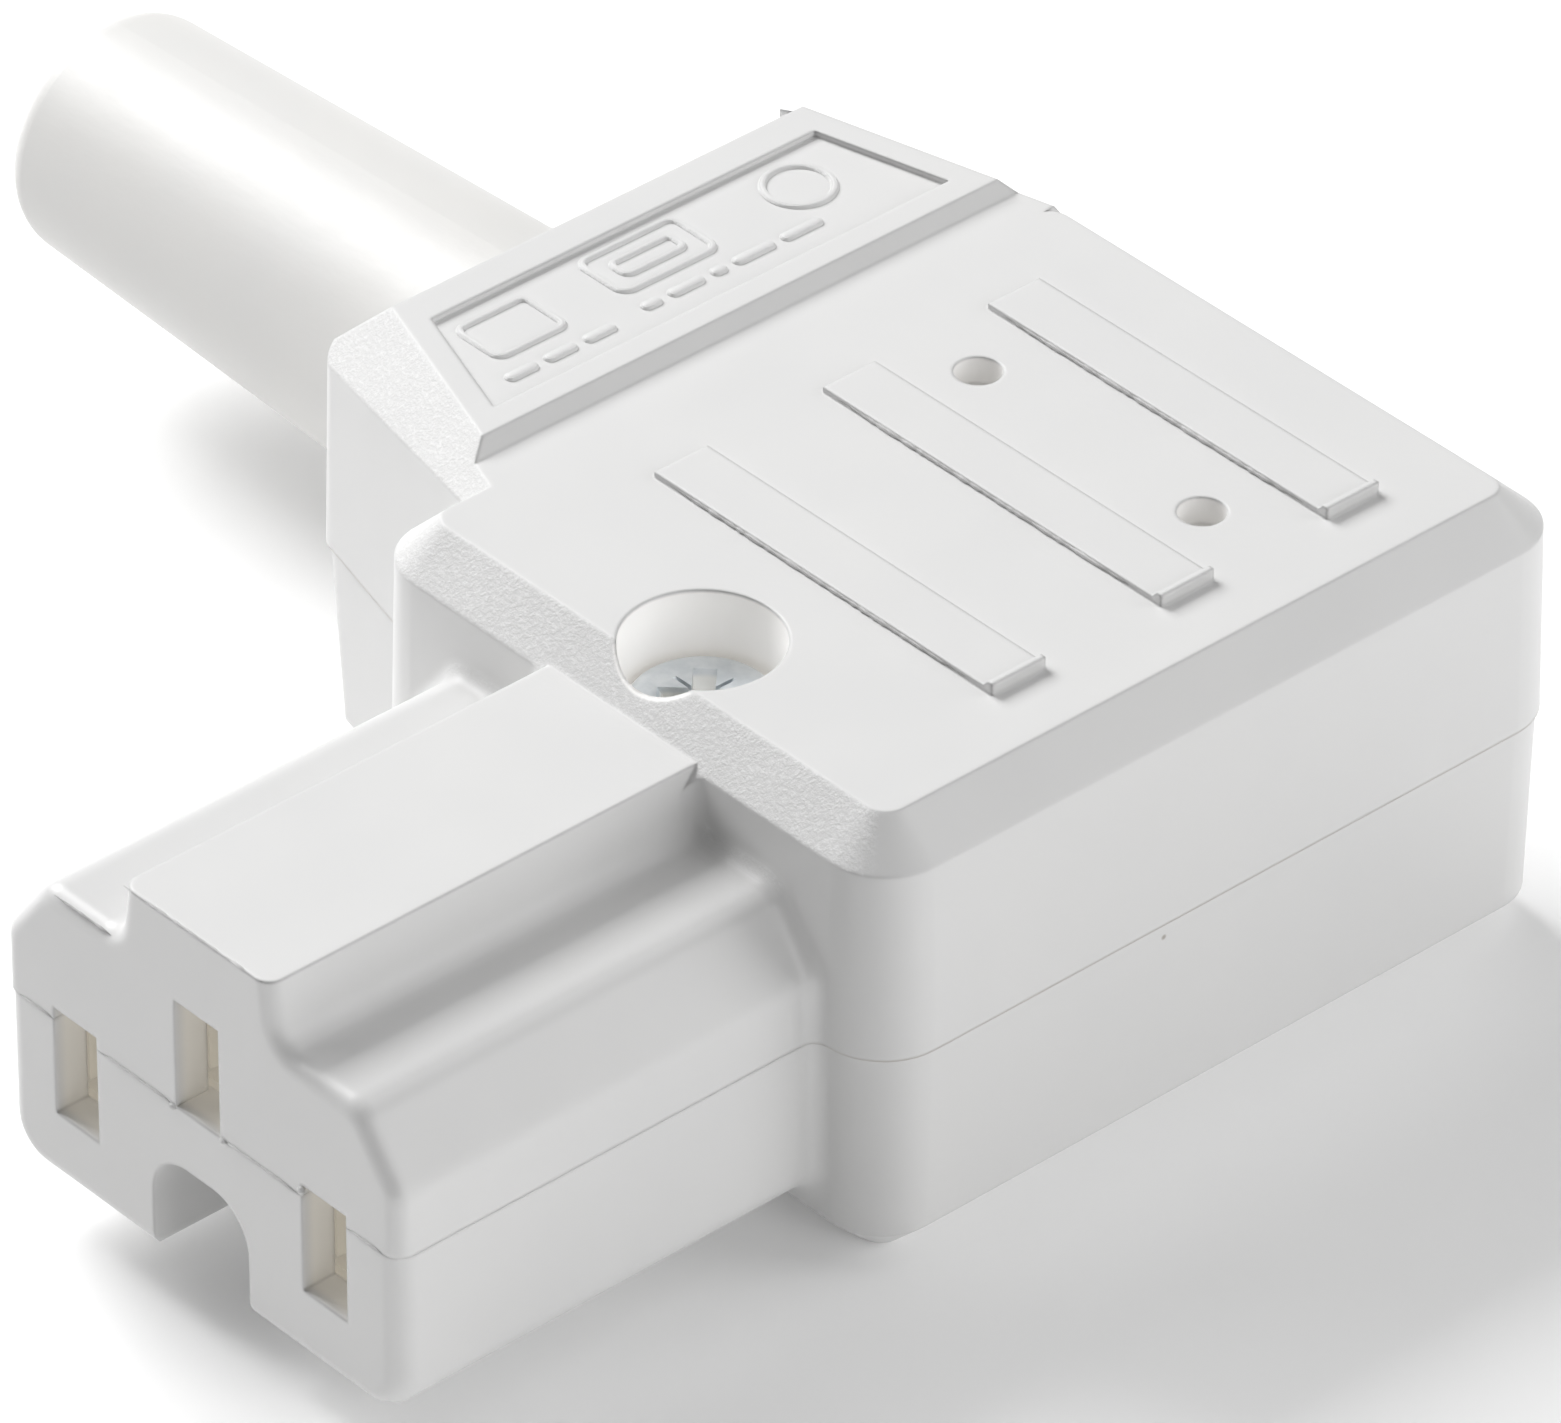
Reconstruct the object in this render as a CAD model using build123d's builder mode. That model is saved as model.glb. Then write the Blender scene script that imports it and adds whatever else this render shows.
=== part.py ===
from build123d import *
from math import radians, tan
import os

# Right-angled rewirable appliance connector, hot-condition type.
# Millimetres. X runs across the nose, the nose points to -Y, the cord leaves to -X, +Z is up.
# The origin is on the nose face, on its centre line, in the parting plane of the two shells.
os.makedirs("parts", exist_ok=True)

# Pins and slots of the coupler
pin_pitch = 14.0
slot_width = 2.45
earth_slot_height = 4.83
side_slot_bottom = 4.31
side_slot_top = 0.52

# Nose
nose_width = 22.1
nose_length = 20.0
nose_depth = 7.5
nose_side_height = 2.8
shoulder_height = 5.7
shoulder_width = 17.7
ridge_height = 8.43
ridge_width = 8.2
ridge_foot_width = 8.9
nose_lower_radius = 1.9
nose_upper_radius = 1.2
shoulder_radius = 1.3
ridge_foot_radius = 1.2
lower_rim_radius = 0.9
upper_rim_radius = 0.7
root_radius = 0.95
face_wall = 1.5

# Keyway groove under the nose
keyway_width = 5.4
keyway_roof = 2.65
keyway_roof_radius = 2.0
keyway_mouth_radius = 0.5
keyway_stop = 2.5

# Housing block
block_width = 28.9
block_length = 35.25
block_top = 9.9
block_bottom = 9.85
block_corner_radius = 2.8
block_chamfer = 1.7
block_foot_chamfer = 1.55
block_draft = 1.2
seam_step = 0.15
wall = 2.0

# Neck that carries the label field and grips the cord sleeve
neck_set_back = 19.3
neck_length = 10.85
neck_overlap = 2.2
neck_root_half_width = 15.05
neck_end_half_width = 12.25
neck_corner_radius = 1.3
neck_top = 10.48
neck_bevel_drop = 2.3
neck_end_bevel = 1.9
neck_front_flat_root = 13.1
neck_front_flat_end = 9.4
neck_back_flat_root = 13.2
neck_back_flat_end = 10.45
neck_step_offset = 0.2
neck_foot_draft = 3.0
label_depth = 0.25
label_offset = 1.35
label_length = 6.0
label_margin = 1.2

# Finger ribs on the top
rib_count = 3
rib_length = 18.6
rib_width = 2.65
rib_pitch = 8.45
rib_set_back = 11.2
rib_root = 0.5
rib_height = 0.22
rib_end_height = 0.5
rib_centre_x = 0.3

# Core holes over the inner posts
core_hole_diameter = 1.9
core_hole_depth = 1.2
core_hole_pitch = 12.3
core_hole_set_back = 23.65
post_diameter = 4.2
peg_diameter = 2.0
peg_height = 2.0
peg_clearance = 0.1

# Housing screw and nut
screw_set_back = 4.3
screw_recess_diameter = 6.35
screw_recess_wall = 1.6
screw_head_diameter = 5.8
screw_head_height = 1.9
screw_head_sink = 2.5
screw_head_chamfer = 0.6
screw_diameter = 3.0
screw_tip_sink = 0.2
screw_clearance = 0.3
thread_chamfer = 0.3
cross_width = 1.0
cross_span = 3.6
cross_depth = 1.1
cross_taper = 12.0
nut_flats = 5.5
nut_height = 2.4
nut_sink = 0.6
nut_clearance = 0.1
boss_diameter = 7.8

# Female contacts
sheet = 0.4
spring_sheet = 0.3
leaf_pinch = 1.7
leaf_mouth = 2.7
leaf_height = 3.8
leaf_rise = 0.8
contact_start = 1.7
contact_length = 12.5
contact_base_width = 3.3
chamber_width = 3.9
spring_start = 4.0
spring_length = 4.4
tail_width = 3.0
side_contact_floor = 4.5
side_chamber_top = 0.9
earth_chamber_height = 5.3
chamber_clearance = 0.2

# Terminals
terminal_width = 5.6
terminal_length = 7.0
terminal_height = 6.0
side_terminal_set_back = 9.2
earth_terminal_set_back = 17.0
earth_strap_width = 5.0
wire_hole_diameter = 3.0
wire_hole_height = 2.2
terminal_screw_diameter = 3.0
terminal_screw_reach = 2.8
terminal_head_diameter = 5.0
terminal_head_height = 2.0
head_chamfer = 0.3
driver_slot_width = 0.8
driver_slot_depth = 1.0

# Cord sleeve
cord_set_back = 19.1
sleeve_root_radius = 6.28
sleeve_end_radius = 5.25
sleeve_length = 27.4
sleeve_end_rounding = 1.2
sleeve_bore_radius = 3.9
sleeve_flare_radius = 5.2
sleeve_flare_offset = 0.5
sleeve_throat_radius = 6.1
sleeve_collar_radius = 7.2
sleeve_collar_length = 1.9
sleeve_clearance = 0.05
collar_clearance = 0.2

# Cord clamp
clamp_set_back = 6.7
clamp_width = 4.4
clamp_arch_radius = 4.1
clamp_thickness = 2.0
clamp_span = 21.6
clamp_hole_pitch = 16.6
clamp_gap = 0.6
clamp_post_diameter = 5.2
clamp_screw_diameter = 2.9
clamp_head_diameter = 5.0
clamp_head_height = 1.8
clamp_screw_reach = 5.0

# Cutting shapes start this far outside the surface that they open
overrun = 1.0

# Places that follow from the values above
block_side = block_width / 2
block_front = nose_length
block_centre_y = block_front + block_length / 2
block_back = block_front + block_length
floor_z = -(block_bottom - wall)
ceiling_z = block_top - wall
neck_end = block_side + neck_length
neck_y = block_front + neck_set_back
cord_axis_y = block_front + cord_set_back
screw_y = block_front + screw_set_back
core_hole_y = block_front + core_hole_set_back
side_terminal_y = block_front + side_terminal_set_back
earth_terminal_y = block_front + earth_terminal_set_back
head_top_z = block_top - screw_head_sink
head_seat_z = head_top_z - screw_head_height
nut_seat_z = -(block_bottom - nut_sink - nut_height)
side_x = pin_pitch / 2
clamp_x = clamp_set_back - neck_end

# Roundings that the flat of the block's front beside and under the nose has to hold,
# and the share of a corner's rounding that a bevel over it may take
side_step = (block_width - nose_width) / 2
foot_step = block_bottom - block_foot_chamfer - nose_depth
side_share = 0.3
foot_share = 0.9
bevel_share = 0.7
corner_radius = min(block_corner_radius, side_step - root_radius / 2)
nose_root_radius = min(root_radius, side_step * side_share, foot_step * foot_share)


def neck_half_width(x, root_half, end_half):
    """Half width at a place along the neck, in line between its root and its end."""
    return root_half + (end_half - root_half) * (-x - block_side) / neck_length


def block_solid(height, inset, corner, edge):
    """Housing block standing on the parting plane, with its corners and its top edge worked."""
    with BuildPart() as block:
        with BuildSketch() as plan:
            with Locations((0, block_centre_y)):
                Rectangle(block_width - 2 * inset, block_length - 2 * inset)
            if corner:
                fillet(plan.vertices(), corner)
        extrude(amount=height, taper=block_draft)
        if edge:
            chamfer(block.faces().sort_by(Axis.Z)[-1].edges(), min(edge, corner * bevel_share))
    return block.part


def neck_solid(height, inset, angle, corner):
    """Tapering neck standing on the parting plane, from inside the block to the cord's end."""
    near_x = neck_overlap - block_side
    far_x = inset - neck_end
    near_half = neck_half_width(near_x, neck_root_half_width, neck_end_half_width) - inset
    far_half = neck_half_width(far_x, neck_root_half_width, neck_end_half_width) - inset
    with BuildPart() as neck:
        with BuildSketch() as plan:
            with BuildLine():
                Polyline(
                    (near_x, neck_y - near_half),
                    (near_x, neck_y + near_half),
                    (far_x, neck_y + far_half),
                    (far_x, neck_y - far_half),
                    close=True,
                )
            make_face()
            if corner:
                fillet(plan.vertices().group_by(Axis.X)[0], corner)
        extrude(amount=height, taper=angle)
    return neck.part


def bevelled_neck(height, inset, angle, drop, end_bevel, flats):
    """Neck with a bevel down each side and over its end, round a flat top.

    flats holds, for the front and the back, the flat's half width at the root and at the end.
    """
    low = height - drop
    foot_half = neck_end_half_width - inset - low * tan(radians(angle))
    planes = [Plane(origin=(end_bevel - neck_end, 0, height), x_dir=(0, 1, 0), z_dir=(-1, 0, 1))]
    for side, (root_half, end_half) in zip((-1, 1), flats):
        start = Vector(-neck_end, neck_y + side * end_half, height)
        stop = Vector(-block_side, neck_y + side * root_half, height)
        foot = Vector(-neck_end, neck_y + side * foot_half, low)
        normal = (stop - start).cross(foot - start)
        planes.append(Plane(origin=start, x_dir=stop - start, z_dir=normal * side))
    with BuildPart() as neck:
        add(neck_solid(height, inset, angle, neck_corner_radius))
        with BuildSketch(*planes):
            Rectangle(4 * neck_end, 4 * neck_end)
        extrude(amount=height, mode=Mode.SUBTRACT)
    return neck.part


def at_width(vertices, width):
    """The vertices of a profile that lie half the given width from its middle."""
    return [v for v in vertices if abs(abs(v.X) - width / 2) < 0.01]


def nose_rim(part):
    """Edges round the nose face, apart from those in the parting plane."""
    face = part.faces().sort_by(Axis.Y)[0]
    return [edge for edge in face.edges() if abs(edge.center().Z) > 0.1]


def root_edges(part):
    """Edges where the nose meets the flat front of the block, without those in its chamfer."""
    edges = part.edges().filter_by_position(Axis.Y, block_front - 0.1, block_front + 0.6)
    found = []
    for edge in edges:
        box = edge.bounding_box()
        inside = max(abs(box.min.X), abs(box.max.X)) < nose_width / 2 + 0.05
        upright = box.max.Y - box.min.Y < 0.15 and abs(edge.center().Z) > 0.05
        if inside and upright and box.min.Z < block_top - block_chamfer - 0.1:
            found.append(edge)
    return found


def slot_box(x, width, low, high, start, stop):
    """Box for a slot or a chamber: centred at x, between two heights and two depths."""
    with BuildPart() as box:
        with Locations((x, start, low)):
            Box(width, stop - start, high - low, align=(Align.CENTER, Align.MIN, Align.MIN))
    return box.part


def cord_hole():
    """Room for the cord sleeve: a round throat through the neck's end and its collar's seat."""
    with BuildPart() as hole:
        with BuildSketch(Plane.YZ.offset(-neck_end - overrun)):
            with Locations((cord_axis_y, 0)):
                Circle(sleeve_throat_radius + sleeve_clearance)
        extrude(amount=wall + 2 * overrun)
        with BuildSketch(Plane.YZ.offset(wall - neck_end)):
            with Locations((cord_axis_y, 0)):
                Circle(sleeve_collar_radius + collar_clearance)
        extrude(amount=sleeve_collar_length)
    return hole.part


# Outer form of the upper half of the nose
with BuildPart() as upper_nose:
    with BuildSketch(Plane.XZ) as upper_profile:
        with BuildLine():
            half = [
                (nose_width / 2, 0),
                (nose_width / 2, nose_side_height),
                (shoulder_width / 2, shoulder_height),
                (ridge_foot_width / 2, shoulder_height),
                (ridge_width / 2, ridge_height),
            ]
            Polyline(*half, *[(-x, z) for x, z in reversed(half)], close=True)
        make_face()
        fillet(
            [v for v in at_width(upper_profile.vertices(), nose_width) if v.Y > 0.1],
            nose_upper_radius,
        )
        fillet(at_width(upper_profile.vertices(), shoulder_width), shoulder_radius)
        fillet(at_width(upper_profile.vertices(), ridge_foot_width), ridge_foot_radius)
    extrude(amount=-(nose_length + wall))

# Outer form of the lower half of the nose
with BuildPart() as lower_nose:
    with BuildSketch(Plane.XZ) as lower_profile:
        with Locations((0, -nose_depth / 2)):
            Rectangle(nose_width, nose_depth)
        fillet(lower_profile.vertices().group_by(Axis.Y)[0], nose_lower_radius)
    extrude(amount=-(nose_length + wall))

# Upper half of the neck, with the step down to the block
with BuildPart() as upper_neck:
    add(
        bevelled_neck(
            neck_top,
            0,
            block_draft,
            neck_bevel_drop,
            neck_end_bevel,
            (
                (neck_front_flat_root, neck_front_flat_end),
                (neck_back_flat_root, neck_back_flat_end),
            ),
        )
    )
    with BuildSketch(Plane.XZ.offset(-block_back)):
        with BuildLine():
            step_x = -(block_side + neck_step_offset)
            rise = neck_top - block_top
            Polyline(
                (step_x, neck_top),
                (step_x + rise, block_top),
                (0, block_top),
                (0, neck_top + rise),
                (step_x, neck_top + rise),
                close=True,
            )
        make_face()
    extrude(amount=block_length, mode=Mode.SUBTRACT)

# Upper half of the housing
with BuildPart() as upper_shell:
    add(block_solid(block_top, 0, corner_radius, block_chamfer))
    add(upper_nose.part)
    fillet(root_edges(upper_shell.part), nose_root_radius)
    rim = [e for e in nose_rim(upper_shell.part) if e.center().Z < ridge_height - 0.05]
    fillet(rim, upper_rim_radius)
    add(upper_neck.part)

    # Label field, sunk into the neck's flat top
    with BuildSketch(Plane.XY.offset(neck_top)):
        with BuildLine():
            near_x = -(block_side + label_offset)
            far_x = near_x - label_length
            corners = []
            for side, root_half, end_half in (
                (-1, neck_front_flat_root, neck_front_flat_end),
                (1, neck_back_flat_root, neck_back_flat_end),
            ):
                for x in (near_x, far_x)[::side]:
                    half_width = neck_half_width(x, root_half, end_half) - label_margin
                    corners.append((x, neck_y + side * half_width))
            Polyline(*corners, close=True)
        make_face()
    extrude(amount=-label_depth, mode=Mode.SUBTRACT)

    # Finger ribs, each rising towards its free end
    rib_backs = [block_front + rib_set_back + rib_width / 2 + rib_pitch * i for i in range(rib_count)]
    with BuildSketch(*[Plane.XZ.offset(-y) for y in rib_backs]):
        with BuildLine():
            left = rib_centre_x - rib_length / 2
            right = rib_centre_x + rib_length / 2
            Polyline(
                (left, block_top - rib_root),
                (left, block_top + rib_height),
                (right - rib_end_height, block_top + rib_height),
                (right - rib_end_height / 2, block_top + rib_end_height),
                (right, block_top + rib_end_height),
                (right, block_top - rib_root),
                close=True,
            )
        make_face()
    extrude(amount=rib_width)

    # Inside space of the block and the neck
    add(block_solid(ceiling_z, wall, 0, 0), mode=Mode.SUBTRACT)
    add(neck_solid(ceiling_z, wall, block_draft, 0), mode=Mode.SUBTRACT)

    # Boss round the screw recess, standing on the earth strap
    with BuildSketch(Plane.XY.offset(sheet)):
        with Locations((0, screw_y)):
            Circle(boss_diameter / 2)
    extrude(amount=ceiling_z - sheet)
    with BuildSketch(Plane.XY.offset(head_seat_z - screw_recess_wall)):
        with Locations((0, screw_y)):
            Circle(screw_recess_diameter / 2 + screw_recess_wall)
    extrude(amount=ceiling_z - head_seat_z + screw_recess_wall)
    with Locations((0, screw_y, block_top)):
        CounterBoreHole(
            radius=(screw_diameter + screw_clearance) / 2,
            counter_bore_radius=screw_recess_diameter / 2,
            counter_bore_depth=block_top - head_seat_z,
            depth=block_top,
        )

    # Locating posts with their sockets, and the core holes over them
    with BuildSketch():
        with Locations((0, core_hole_y)):
            with GridLocations(core_hole_pitch, 1, 2, 1):
                Circle(post_diameter / 2)
    extrude(amount=ceiling_z)
    with Locations((0, core_hole_y, block_top)):
        with GridLocations(core_hole_pitch, 1, 2, 1):
            Hole(core_hole_diameter / 2, depth=core_hole_depth)
    with BuildSketch():
        with Locations((0, core_hole_y)):
            with GridLocations(core_hole_pitch, 1, 2, 1):
                Circle(peg_diameter / 2 + peg_clearance)
    extrude(amount=peg_height + peg_clearance, mode=Mode.SUBTRACT)

    # Slots in the face, chambers behind them and the passage of the earth strap
    chamber_end = contact_start + contact_length + chamber_clearance
    slot_end = face_wall + overrun
    add(slot_box(0, slot_width, 0, earth_slot_height, -overrun, slot_end), mode=Mode.SUBTRACT)
    add(
        slot_box(0, chamber_width, 0, earth_chamber_height, face_wall, chamber_end),
        mode=Mode.SUBTRACT,
    )
    passage_width = earth_strap_width + 2 * chamber_clearance
    passage_end = block_front + wall + overrun
    add(slot_box(0, passage_width, 0, sheet, chamber_end - overrun, passage_end), mode=Mode.SUBTRACT)
    for x in (-side_x, side_x):
        add(slot_box(x, slot_width, 0, side_slot_top, -overrun, slot_end), mode=Mode.SUBTRACT)
        add(
            slot_box(x, chamber_width, 0, side_chamber_top, face_wall, chamber_end),
            mode=Mode.SUBTRACT,
        )
    add(cord_hole(), mode=Mode.SUBTRACT)
upper_shell.part.label = "upper_shell"
export_step(upper_shell.part, "parts/upper_shell.step")

# Lower half of the neck, standing upwards before it is turned over
foot_inset = seam_step + block_foot_chamfer + block_bottom * tan(radians(neck_foot_draft))
foot_flat = (neck_root_half_width - foot_inset, neck_end_half_width - foot_inset)
lower_neck = bevelled_neck(
    block_bottom,
    seam_step,
    neck_foot_draft,
    block_foot_chamfer,
    foot_inset,
    (foot_flat, foot_flat),
)

# Lower half of the housing
with BuildPart() as lower_shell:
    lower_block = block_solid(block_bottom, seam_step, corner_radius - seam_step, block_foot_chamfer)
    add(mirror(lower_block, about=Plane.XY))
    add(lower_nose.part)
    fillet(root_edges(lower_shell.part), nose_root_radius)
    fillet(nose_rim(lower_shell.part), lower_rim_radius)
    add(mirror(lower_neck, about=Plane.XY))

    # Keyway groove along the underside of the nose, its mouth rounded outwards
    with BuildSketch(Plane.XZ.offset(overrun)) as keyway:
        with Locations((0, -nose_depth)):
            Rectangle(keyway_width, nose_depth - keyway_roof, align=(Align.CENTER, Align.MIN))
            Rectangle(2 * keyway_width, overrun, align=(Align.CENTER, Align.MAX))
        fillet(keyway.vertices().group_by(Axis.Y)[-1], keyway_roof_radius)
        fillet(at_width(keyway.vertices().group_by(Axis.Y)[-3], keyway_width), keyway_mouth_radius)
    extrude(amount=-(nose_length - keyway_stop + overrun), mode=Mode.SUBTRACT)

    # Inside space of the block and the neck
    add(mirror(block_solid(-floor_z, wall, 0, 0), about=Plane.XY), mode=Mode.SUBTRACT)
    add(mirror(neck_solid(-floor_z, wall, neck_foot_draft, 0), about=Plane.XY), mode=Mode.SUBTRACT)

    # Boss under the housing screw, with the pocket of its nut
    with BuildSketch(Plane.XY.offset(floor_z)):
        with Locations((0, screw_y)):
            Circle(boss_diameter / 2)
    extrude(amount=-floor_z)
    with Locations((0, screw_y, 0)):
        Hole((screw_diameter + screw_clearance) / 2)
    with BuildSketch(Plane.XY.offset(-block_bottom)):
        with Locations((0, screw_y)):
            RegularPolygon(nut_flats / 2 + nut_clearance, 6, major_radius=False)
    extrude(amount=block_bottom + nut_seat_z, mode=Mode.SUBTRACT)

    # Slots in the face and the chambers behind them
    for x in (-side_x, side_x):
        add(slot_box(x, slot_width, -side_slot_bottom, 0, -overrun, slot_end), mode=Mode.SUBTRACT)
        add(
            slot_box(x, chamber_width, -side_contact_floor, 0, face_wall, passage_end),
            mode=Mode.SUBTRACT,
        )

    # Seats of the terminals
    with BuildSketch(Plane.XY.offset(floor_z)):
        with Locations((-side_x, side_terminal_y), (side_x, side_terminal_y)):
            Rectangle(terminal_width, terminal_length)
    extrude(amount=-side_contact_floor - floor_z)
    with BuildSketch(Plane.XY.offset(floor_z)):
        with Locations((0, earth_terminal_y)):
            Rectangle(terminal_width, terminal_length)
    extrude(amount=-terminal_height - floor_z)

    # Locating posts with their pegs
    with BuildSketch(Plane.XY.offset(floor_z)):
        with Locations((0, core_hole_y)):
            with GridLocations(core_hole_pitch, 1, 2, 1):
                Circle(post_diameter / 2)
    extrude(amount=-floor_z)
    with BuildSketch():
        with Locations((0, core_hole_y)):
            with GridLocations(core_hole_pitch, 1, 2, 1):
                Circle(peg_diameter / 2)
    extrude(amount=peg_height)
    add(cord_hole(), mode=Mode.SUBTRACT)

    # Saddle under the cord clamp, with its two screw posts
    with BuildSketch(Plane.XY.offset(floor_z)):
        with Locations((clamp_x, cord_axis_y)):
            Rectangle(clamp_width, clamp_hole_pitch)
            with GridLocations(1, clamp_hole_pitch, 1, 2):
                Circle(clamp_post_diameter / 2)
    extrude(amount=-floor_z - clamp_gap / 2)
    with BuildSketch(Plane.YZ.offset(clamp_x - clamp_post_diameter)):
        with Locations((cord_axis_y, 0)):
            Circle(clamp_arch_radius)
    extrude(amount=2 * clamp_post_diameter, mode=Mode.SUBTRACT)
    with Locations((clamp_x, cord_axis_y, -clamp_gap / 2)):
        with GridLocations(1, clamp_hole_pitch, 1, 2):
            Hole(clamp_screw_diameter / 2, depth=clamp_screw_reach + clamp_gap)
lower_shell.part.label = "lower_shell"
export_step(lower_shell.part, "parts/lower_shell.step")

# Smooth cord sleeve, turned about the cord's axis, its bore flared towards the wiring space
sleeve_start = -neck_end - sleeve_clearance
sleeve_far = sleeve_start - sleeve_length
collar_face = wall - neck_end + sleeve_clearance
collar_back = collar_face + sleeve_collar_length
with BuildPart() as cord_sleeve:
    with BuildSketch(Plane.XZ.offset(-cord_axis_y)) as sleeve_profile:
        with BuildLine():
            Polyline(
                (collar_back, sleeve_flare_radius),
                (collar_back, sleeve_collar_radius),
                (collar_face, sleeve_collar_radius),
                (collar_face, sleeve_throat_radius),
                (sleeve_start, sleeve_throat_radius),
                (sleeve_start, sleeve_root_radius),
                (sleeve_far, sleeve_end_radius),
                (sleeve_far, sleeve_bore_radius),
                (sleeve_start - sleeve_flare_offset, sleeve_bore_radius),
                close=True,
            )
        make_face()
        far_edge = sleeve_profile.vertices().group_by(Axis.X)[0].sort_by(Axis.Y)[-1]
        fillet(far_edge, sleeve_end_rounding)
    revolve(axis=Axis((0, cord_axis_y, 0), (1, 0, 0)))
cord_sleeve.part.label = "cord_sleeve"
export_step(cord_sleeve.part, "parts/cord_sleeve.step")

# Pan-head screw that closes the housing
screw_tip_z = nut_seat_z - nut_height + screw_tip_sink
with BuildPart() as housing_screw:
    with BuildSketch(Plane.XY.offset(head_seat_z)):
        with Locations((0, screw_y)):
            Circle(screw_head_diameter / 2)
    extrude(amount=screw_head_height)
    chamfer(housing_screw.edges().sort_by(Axis.Z)[-1], screw_head_chamfer)
    with BuildSketch(Plane.XY.offset(head_top_z)):
        with Locations((0, screw_y)):
            Rectangle(cross_span, cross_width)
            Rectangle(cross_width, cross_span)
    extrude(amount=-cross_depth, taper=cross_taper, mode=Mode.SUBTRACT)
    with BuildSketch(Plane.XY.offset(screw_tip_z)):
        with Locations((0, screw_y)):
            Circle(screw_diameter / 2)
    extrude(amount=head_seat_z - screw_tip_z)
    chamfer(housing_screw.edges().sort_by(Axis.Z)[0], thread_chamfer)
housing_screw.part.label = "housing_screw"
export_step(housing_screw.part, "parts/housing_screw.step")

# Hexagon nut in its pocket
with BuildPart() as housing_nut:
    with BuildSketch(Plane.XY.offset(nut_seat_z - nut_height)):
        with Locations((0, screw_y)):
            RegularPolygon(nut_flats / 2, 6, major_radius=False)
            Circle(screw_diameter / 2, mode=Mode.SUBTRACT)
    extrude(amount=nut_height)
    chamfer(housing_nut.edges().filter_by(GeomType.CIRCLE).sort_by(Axis.Z)[0], thread_chamfer)
housing_nut.part.label = "housing_nut"
export_step(housing_nut.part, "parts/housing_nut.step")


def contact_solid(x, floor, tail_end, strap_width):
    """Folded female contact: a base with two sprung leaves, and a flat tail behind it."""
    back = contact_start + contact_length
    rear_gap = contact_base_width / 2 - sheet
    with BuildPart() as contact:
        with BuildSketch(Plane((x, 0, floor))):
            with Locations((0, (contact_start + back) / 2)):
                Rectangle(contact_base_width, contact_length)
            with Locations((0, back)):
                Rectangle(strap_width, tail_end - back, align=(Align.CENTER, Align.MIN))
        extrude(amount=sheet)
        with BuildSketch(Plane((x, 0, floor + leaf_rise))):
            with BuildLine():
                Polyline(
                    (leaf_mouth / 2, contact_start),
                    (leaf_pinch / 2, spring_start - sheet),
                    (leaf_pinch / 2, spring_start + spring_length + sheet),
                    (rear_gap, back - contact_base_width),
                    (rear_gap, back),
                )
                offset(amount=sheet, side=Side.RIGHT)
            make_face()
            mirror(about=Plane.YZ)
        extrude(amount=leaf_height)
        with BuildSketch(Plane((x, 0, floor))):
            with Locations((0, back)):
                with GridLocations(contact_base_width - sheet, 1, 2, 1):
                    Rectangle(sheet, contact_base_width, align=(Align.CENTER, Align.MAX))
        extrude(amount=leaf_rise)
    return contact


def spring_solid(x, floor):
    """Steel over-spring: a bridge over the leaves with an arm down each side."""
    outside = leaf_pinch + 2 * sheet + 2 * spring_sheet
    with BuildPart() as spring:
        with BuildSketch(Plane((x, spring_start, floor), x_dir=(1, 0, 0), z_dir=(0, -1, 0))):
            with Locations((0, leaf_rise)):
                Rectangle(outside, leaf_height + spring_sheet, align=(Align.CENTER, Align.MIN))
                Rectangle(
                    outside - 2 * spring_sheet,
                    leaf_height,
                    align=(Align.CENTER, Align.MIN),
                    mode=Mode.SUBTRACT,
                )
        extrude(amount=-spring_length)
    return spring


def terminal_solid(x, y, low):
    """Brass block with a wire hole along Y and a tapped hole from above."""
    with BuildPart() as block:
        with BuildSketch(Plane.XY.offset(low)):
            with Locations((x, y)):
                Rectangle(terminal_width, terminal_length)
        extrude(amount=terminal_height)
        chamfer(block.edges().filter_by(Axis.Z), sheet)
        with BuildSketch(Plane((x, y, low), x_dir=(1, 0, 0), z_dir=(0, -1, 0))):
            with Locations((0, wire_hole_height)):
                Circle(wire_hole_diameter / 2)
        extrude(amount=terminal_length, both=True, mode=Mode.SUBTRACT)
        with Locations((x, y, low + terminal_height)):
            Hole(terminal_screw_diameter / 2, depth=terminal_height - wire_hole_height)
    return block


def slotted_screw(x, y, seat, shank_diameter, reach, head_diameter, head_height):
    """Cheese-head screw that stands with its head's underside on a seat."""
    with BuildPart() as screw:
        with BuildSketch(Plane.XY.offset(seat)):
            with Locations((x, y)):
                Circle(head_diameter / 2)
        extrude(amount=head_height)
        chamfer(screw.edges().sort_by(Axis.Z)[-1], head_chamfer)
        with BuildSketch(Plane.XY.offset(seat + head_height)):
            with Locations((x, y)):
                Rectangle(driver_slot_width, head_diameter)
        extrude(amount=-driver_slot_depth, mode=Mode.SUBTRACT)
        with BuildSketch(Plane.XY.offset(seat)):
            with Locations((x, y)):
                Circle(shank_diameter / 2)
        extrude(amount=-reach)
    return screw


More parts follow.
